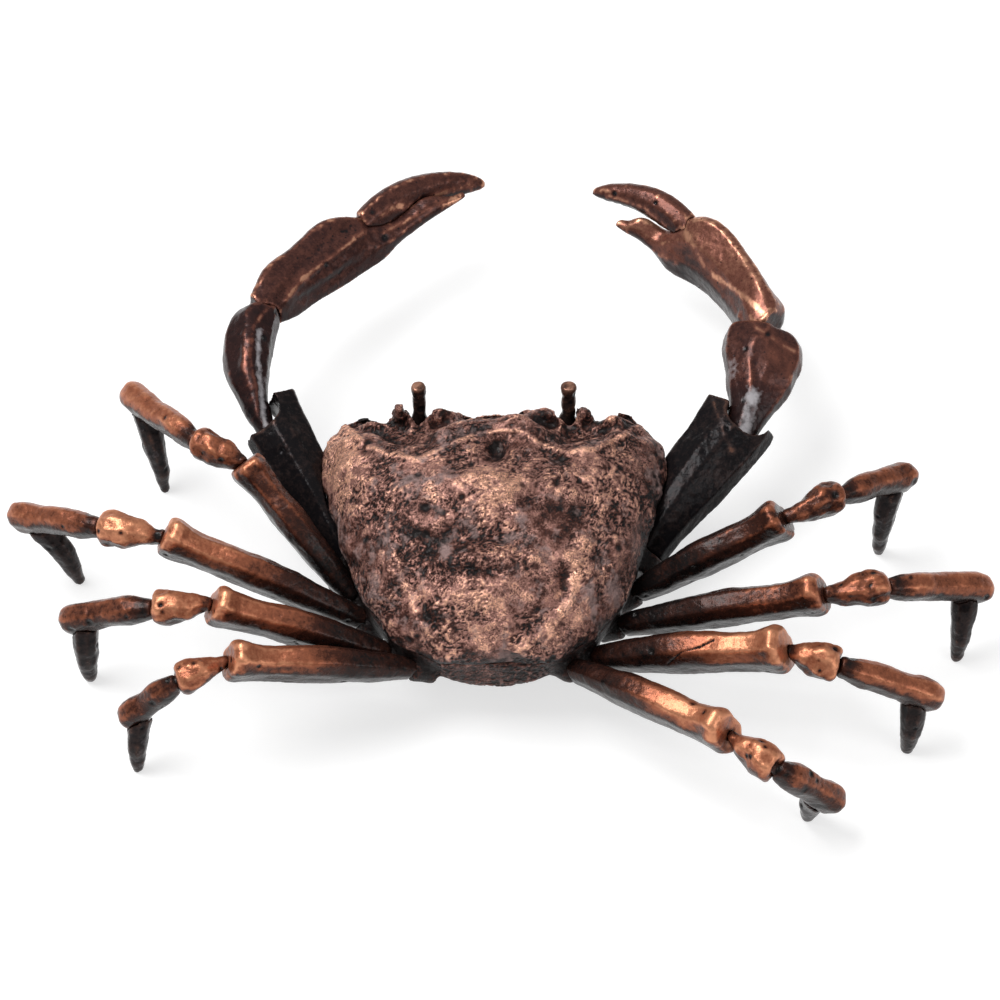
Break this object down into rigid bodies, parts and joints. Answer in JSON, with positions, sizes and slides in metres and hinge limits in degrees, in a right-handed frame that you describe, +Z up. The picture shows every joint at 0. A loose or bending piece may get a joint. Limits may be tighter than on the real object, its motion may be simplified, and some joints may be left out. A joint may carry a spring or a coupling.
{
  "type": "crab figurine",
  "caption": "Desk figurine of a walking crab in antiqued copper castings, claws curved forward, standing on the tips of its legs.",
  "frame": {"origin": "middle of the bounding box, on the table the leg tips stand on", "axes": "+X to the crab's right, +Y the way it faces, +Z up"},
  "size_m": [0.185, 0.142, 0.0365],
  "materials": {
    "shell_copper": "copper rubbed back over brown and black patina, rough and pitted",
    "leg_copper": "satin copper on the upper edges, dark brown patina below",
    "claw_brown": "satin purple-brown patina with bright copper along the edges",
    "dark_patina": "semi-gloss black patina"
  },
  "bodies": {
    "root": {"carapace": "shell_copper", "left_arm": "dark_patina", "left_eyestalk": "dark_patina", "left_finger": "claw_brown", "left_hand": "claw_brown", "left_leg_1_foot": "dark_patina", "left_leg_1_knee": "leg_copper", "left_leg_1_shin": "leg_copper", "left_leg_1_thigh": "leg_copper", "left_leg_2_foot": "dark_patina", "left_leg_2_knee": "leg_copper", "left_leg_2_shin": "leg_copper", "left_leg_2_thigh": "leg_copper", "left_leg_3_foot": "dark_patina", "left_leg_3_knee": "leg_copper", "left_leg_3_shin": "leg_copper", "left_leg_3_thigh": "leg_copper", "left_leg_4_foot": "dark_patina", "left_leg_4_knee": "leg_copper", "left_leg_4_shin": "leg_copper", "left_leg_4_thigh": "leg_copper", "left_wrist": "claw_brown", "right_arm": "dark_patina", "right_eyestalk": "dark_patina", "right_finger": "claw_brown", "right_hand": "claw_brown", "right_leg_1_foot": "dark_patina", "right_leg_1_knee": "leg_copper", "right_leg_1_shin": "leg_copper", "right_leg_1_thigh": "leg_copper", "right_leg_2_foot": "dark_patina", "right_leg_2_knee": "leg_copper", "right_leg_2_shin": "leg_copper", "right_leg_2_thigh": "leg_copper", "right_leg_3_foot": "dark_patina", "right_leg_3_knee": "leg_copper", "right_leg_3_shin": "leg_copper", "right_leg_3_thigh": "leg_copper", "right_leg_4_foot": "dark_patina", "right_leg_4_knee": "leg_copper", "right_leg_4_shin": "leg_copper", "right_leg_4_thigh": "leg_copper", "right_wrist": "claw_brown", "underbody": "dark_patina"}
  },
  "joints": []
}
